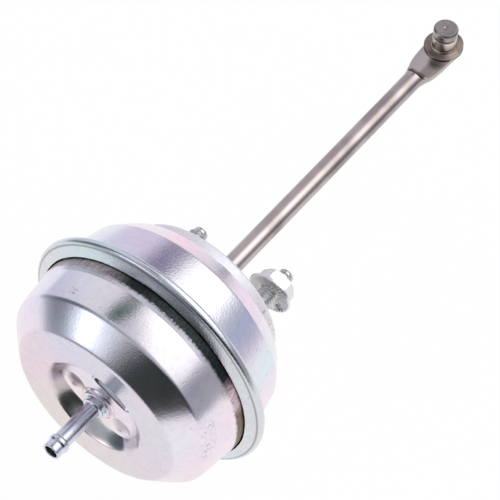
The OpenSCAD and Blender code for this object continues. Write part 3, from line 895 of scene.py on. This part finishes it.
def makePin():
    v = pin
    g = v["top"] - v["grooveDown"]
    s, c, r = v["seat"], v["collar"], v["radius"]
    path = [[0.02, v["top"] - 0.28, 0], [0.3, v["top"] - 0.22, 0.1], [0.75, v["top"] - 0.03, 0.3], [r - 0.45, v["top"], 0.15],
            [r, v["top"] - 0.5, 0.2], [r, g + 0.12, 0.1], [r - 0.5, g, 0.06], [r - 0.5, g - 0.55, 0.06], [r, g - 0.65, 0.1],
            [r, s + v["collarIn"] + 0.55, 0.2], [r + 0.16, s + v["collarIn"] + 0.3, 0.1], [r + 0.3, s + v["collarIn"], 0.12],
            [c - 0.2, s + v["collarOut"] + 0.05, 0.1], [c, s + v["collarOut"] - 0.15, 0.1], [c - 0.1, s, 0.05],
            [v["shank"], s, 0.02], [v["shank"], v["under"], 0.02], [v["shank"] + 1.4, v["under"], 0.05],
            [v["shank"] + 1.4, v["under"] - 0.4, 0.15], [v["shank"] + 0.7, v["under"] - 0.9, 0.3], [0.02, v["under"] - 1.0, 0]]
    loop = [p for p, n in spread(bend(path, 5), 0.6)]
    obj = turn("leverPin", loop, pinSteel, 144, False, None, 40)
    # drawn along X, so stand it up along Z
    return stand(obj, Matrix.Rotation(math.radians(-90), 3, "Y"), (v["x"], 0, 0))


lever = makePin()
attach(lever, "push_rod")
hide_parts("lever_pin")
print("rod and lever pin made")

# inside pieces

spring = {"front": -39.35, "rear": -7.0, "radius": 18.0, "wire": 3.0, "climbing": 4.0, "closed": 0.5}


def makeSpring():
    v = spring
    low, high = v["front"] + v["wire"] / 2 + 0.05, v["rear"] - v["wire"] / 2 - 0.05
    turns = v["climbing"] + 2 * v["closed"]
    steps, sides = 60, 16
    total = int(turns * steps)
    verts, faces = [], []
    for i in range(total + 1):
        t = i / steps
        climb = min(max((t - v["closed"]) / v["climbing"], 0), 1)
        x = low + (high - low) * climb
        a = 2 * math.pi * t
        out = Vector((0, math.cos(a), math.sin(a)))
        for k in range(sides):
            b = 2 * math.pi * k / sides
            p = out * (v["radius"] + v["wire"] / 2 * math.cos(b)) + Vector((x + v["wire"] / 2 * math.sin(b), 0, 0))
            verts.append(tuple(p))
    for i in range(total):
        for k in range(sides):
            n = (k + 1) % sides
            faces.append((i * sides + k, i * sides + n, (i + 1) * sides + n, (i + 1) * sides + k))
    faces.append(tuple(range(sides)))
    faces.append(tuple(total * sides + k for k in range(sides)))
    return makeObject("returnSpring", verts, faces, springSteel, 60)


coil = makeSpring()
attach(coil, "housing")
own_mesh(coil)
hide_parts("return_spring")

rubber = {"thick": 0.8, "clampR": 38.4, "clampX": -25.0, "outerLeg": 34.6, "innerLeg": 29.7, "loopX": -20.5, "faceX": -40.75, "holeR": 2.8}


def makeDiaphragm():
    v = rubber
    path = [[v["clampR"], v["clampX"], 0], [v["outerLeg"], v["clampX"], 1.2], [v["outerLeg"], v["loopX"], 2.44],
            [v["innerLeg"], v["loopX"], 2.44], [v["innerLeg"], v["faceX"], 2.6], [v["holeR"], v["faceX"], 0]]
    return turn("rollingDiaphragm", sheetLoop(path, v["thick"], 1.5), rubberBlack, 192, True, None, 50)


membrane = makeDiaphragm()
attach(membrane, "housing")
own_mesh(membrane)
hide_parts("diaphragm")

innerFinish = {
    "piston_cup": pressedSteel, "retainer_plate": pressedSteel, "backing_washer": pressedSteel, "lock_nut": nutPlate,
    "stop_bumper": rubberBlack, "spring_seat": seatPlastic, "rod_bush": bushBronze, "rod_seal": rubberBlack, "seal_cover": nutPlate,
}
for nodeName, finish in innerFinish.items():
    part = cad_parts[nodeName]
    part.data.materials.clear()
    part.data.materials.append(finish)
print("inside pieces made")

# floor, world, lights and camera

studio = {
    "floorDrop": -40.25, "floorR": 300.0, "floorFade": 210.0,
    "floorColour": (0.8, 0.8, 0.8), "floorGlow": 0.3, "floorWhite": 0.96, "floorMirrored": 0.7,
    "horizon": (0.37, 0.38, 0.42), "sky": (0.58, 0.6, 0.68),
}

# soft patches that the bare metal mirrors: direction (azimuth, elevation), half sizes in degrees, colour
patches = [
    {"at": (58, 50), "half": (44, 27), "soft": 0.45, "colour": (1.2, 1.2, 1.22)},
    {"at": (-108, 55), "half": (50, 14), "soft": 0.8, "colour": (0.36, 0.4, 0.43)},
    {"at": (-124, 20), "half": (21, 15), "soft": 0.8, "colour": (0.98, 1.0, 1.06)},
    {"at": (150, 25), "half": (24, 40), "soft": 0.9, "colour": (0.8, 0.77, 0.87)},
    {"at": (-56, 12), "half": (40, 25), "soft": 0.5, "colour": (0.028, 0.036, 0.032)},
    {"at": (-160, 18), "half": (17, 24), "soft": 0.8, "colour": (0.12, 0.14, 0.155)},
    {"at": (18, 17), "half": (20, 9), "soft": 0.9, "colour": (0.3, 0.3, 0.36)},
    {"at": (50, 6), "half": (10, 9), "soft": 0.9, "colour": (0.44, 0.49, 0.62)},
    {"at": (115, 32), "half": (12, 9), "soft": 0.9, "colour": (0.15, 0.14, 0.25)},
    {"at": (-103, -13), "half": (14, 7), "soft": 0.8, "colour": (0.11, 0.15, 0.19)},
    {"at": (92, -13), "half": (44, 11), "soft": 0.6, "colour": (1.0, 0.92, 1.0)},
    {"at": (94, -9), "half": (4, 4), "soft": 0.9, "colour": (0.3, 0.32, 0.36)},
    {"at": (141, 66), "half": (11, 8), "soft": 0.4, "colour": (0.0, 0.06, 0.03)},
]


def direction(azimuth, elevation):
    a, e = math.radians(azimuth), math.radians(elevation)
    return Vector((math.sin(a) * math.cos(e), -math.cos(a) * math.cos(e), math.sin(e)))


def makeWorld():
    world = bpy.data.worlds.new("studioWorld")
    bpy.context.scene.world = world
    world.use_nodes = True
    tree = world.node_tree
    tree.nodes.clear()
    place = addNode(tree, "ShaderNodeTexCoord").outputs["Generated"]
    height = addNode(tree, "ShaderNodeSeparateXYZ")
    tree.links.new(place, height.inputs[0])
    colour = mixColours(tree, studio["horizon"], studio["sky"], rangeNode(tree, height.outputs[2], 0.2, 0.55))
    for patch in patches:
        centre = direction(*patch["at"])
        right = Vector((0, 0, 1)).cross(centre).normalized()
        up = centre.cross(right)
        dots = []
        for axis in (centre, right, up):
            dot = addNode(tree, "ShaderNodeVectorMath", operation="DOT_PRODUCT")
            tree.links.new(place, dot.inputs[0])
            dot.inputs[1].default_value = axis
            dots.append(dot.outputs["Value"])
        wide, tall = [math.sin(math.radians(h)) for h in patch["half"]]
        across = mathNode(tree, "POWER", mathNode(tree, "ABSOLUTE", mathNode(tree, "DIVIDE", dots[1], wide)), 2.5)
        upright = mathNode(tree, "POWER", mathNode(tree, "ABSOLUTE", mathNode(tree, "DIVIDE", dots[2], tall)), 2.5)
        reach = mathNode(tree, "ADD", across, upright)
        inside = rangeNode(tree, reach, 1 + patch["soft"], 1 - patch["soft"])
        ahead = mathNode(tree, "GREATER_THAN", dots[0], 0)
        colour = mixColours(tree, colour, patch["colour"], mathNode(tree, "MULTIPLY", inside, ahead))
    lit = addNode(tree, "ShaderNodeBackground", {"Strength": 1.0})
    tree.links.new(colour, lit.inputs["Color"])
    blank = addNode(tree, "ShaderNodeBackground", {"Color": (1, 1, 1, 1), "Strength": 1.0})
    rays = addNode(tree, "ShaderNodeLightPath")
    mix = addNode(tree, "ShaderNodeMixShader")
    tree.links.new(rays.outputs["Is Camera Ray"], mix.inputs[0])
    tree.links.new(lit.outputs[0], mix.inputs[1])
    tree.links.new(blank.outputs[0], mix.inputs[2])
    out = addNode(tree, "ShaderNodeOutputWorld")
    tree.links.new(mix.outputs[0], out.inputs["Surface"])


def makeFloor():
    v = studio
    material = bpy.data.materials.new("paleFloor")
    material.use_nodes = True
    tree = material.node_tree
    tree.nodes.clear()
    place = addNode(tree, "ShaderNodeTexCoord").outputs["Object"]
    length = addNode(tree, "ShaderNodeVectorMath", operation="LENGTH")
    tree.links.new(place, length.inputs[0])
    fade = rangeNode(tree, length.outputs["Value"], v["floorFade"] * mm, v["floorR"] * mm * 0.98)
    cloth = addNode(tree, "ShaderNodeBsdfDiffuse", {"Color": (*v["floorColour"], 1)})
    glow = addNode(tree, "ShaderNodeEmission", {"Color": (1, 1, 1, 1), "Strength": v["floorGlow"]})
    both = addNode(tree, "ShaderNodeAddShader")
    tree.links.new(cloth.outputs[0], both.inputs[0])
    tree.links.new(glow.outputs[0], both.inputs[1])
    white = addNode(tree, "ShaderNodeEmission", {"Color": (1, 1, 1, 1), "Strength": 1.0})
    mix = addNode(tree, "ShaderNodeMixShader")
    rays = addNode(tree, "ShaderNodeLightPath")
    seen = mathNode(tree, "MULTIPLY", rays.outputs["Is Camera Ray"], v["floorWhite"])
    mirrored = mathNode(tree, "MULTIPLY", rays.outputs["Is Glossy Ray"], v["floorMirrored"])
    lift = mathNode(tree, "MAXIMUM", fade, mathNode(tree, "MAXIMUM", seen, mirrored))
    tree.links.new(lift, mix.inputs[0])
    tree.links.new(both.outputs[0], mix.inputs[1])
    tree.links.new(white.outputs[0], mix.inputs[2])
    out = addNode(tree, "ShaderNodeOutputMaterial")
    tree.links.new(mix.outputs[0], out.inputs["Surface"])
    verts = [(v["floorR"] * math.cos(2 * math.pi * k / 96), v["floorR"] * math.sin(2 * math.pi * k / 96), v["floorDrop"]) for k in range(96)]
    floor = makeObject("paleFloor", verts, [tuple(range(96))], material)
    return floor


lamps = [
    {"name": "topLamp", "from": (58, 50), "away": 0.9, "size": 0.6, "power": 0.9, "colour": (1.0, 0.99, 0.98)},
    {"name": "sideLamp", "from": (-124, 20), "away": 0.9, "size": 0.3, "power": 0.12, "colour": (0.97, 0.98, 1.0)},
]


def makeLamps():
    for lamp in lamps:
        data = bpy.data.lights.new(lamp["name"], "AREA")
        data.shape = "DISK"
        data.size = lamp["size"]
        data.energy = lamp["power"]
        data.color = lamp["colour"]
        obj = bpy.data.objects.new(lamp["name"], data)
        way = direction(*lamp["from"])
        obj.location = way * lamp["away"]
        obj.rotation_mode = "QUATERNION"
        obj.rotation_quaternion = way.to_track_quat("Z", "Y")
        bpy.context.scene.collection.objects.link(obj)


photoCamera = {
    "place": (-0.308867, -0.226778, 0.562705),
    "right": (0.612711, -0.789268, 0.040519),
    "up": (0.630657, 0.519192, 0.576812),
    "forward": (0.476296, 0.327865, -0.815872),
    "lens": 172.831,
}


def makeCamera():
    v = photoCamera
    data = bpy.data.cameras.new("photoCamera")
    data.lens = v["lens"]
    data.sensor_width = 36
    data.clip_start, data.clip_end = 0.01, 20
    obj = bpy.data.objects.new("photoCamera", data)
    turned = Matrix((v["right"], v["up"], [-c for c in v["forward"]])).transposed()
    obj.matrix_world = Matrix.Translation(v["place"]) @ turned.to_4x4()
    bpy.context.scene.collection.objects.link(obj)
    bpy.context.scene.camera = obj


makeWorld()
makeFloor()
makeLamps()
makeCamera()
bpy.context.scene.view_settings.view_transform = "Standard"
print("studio made")
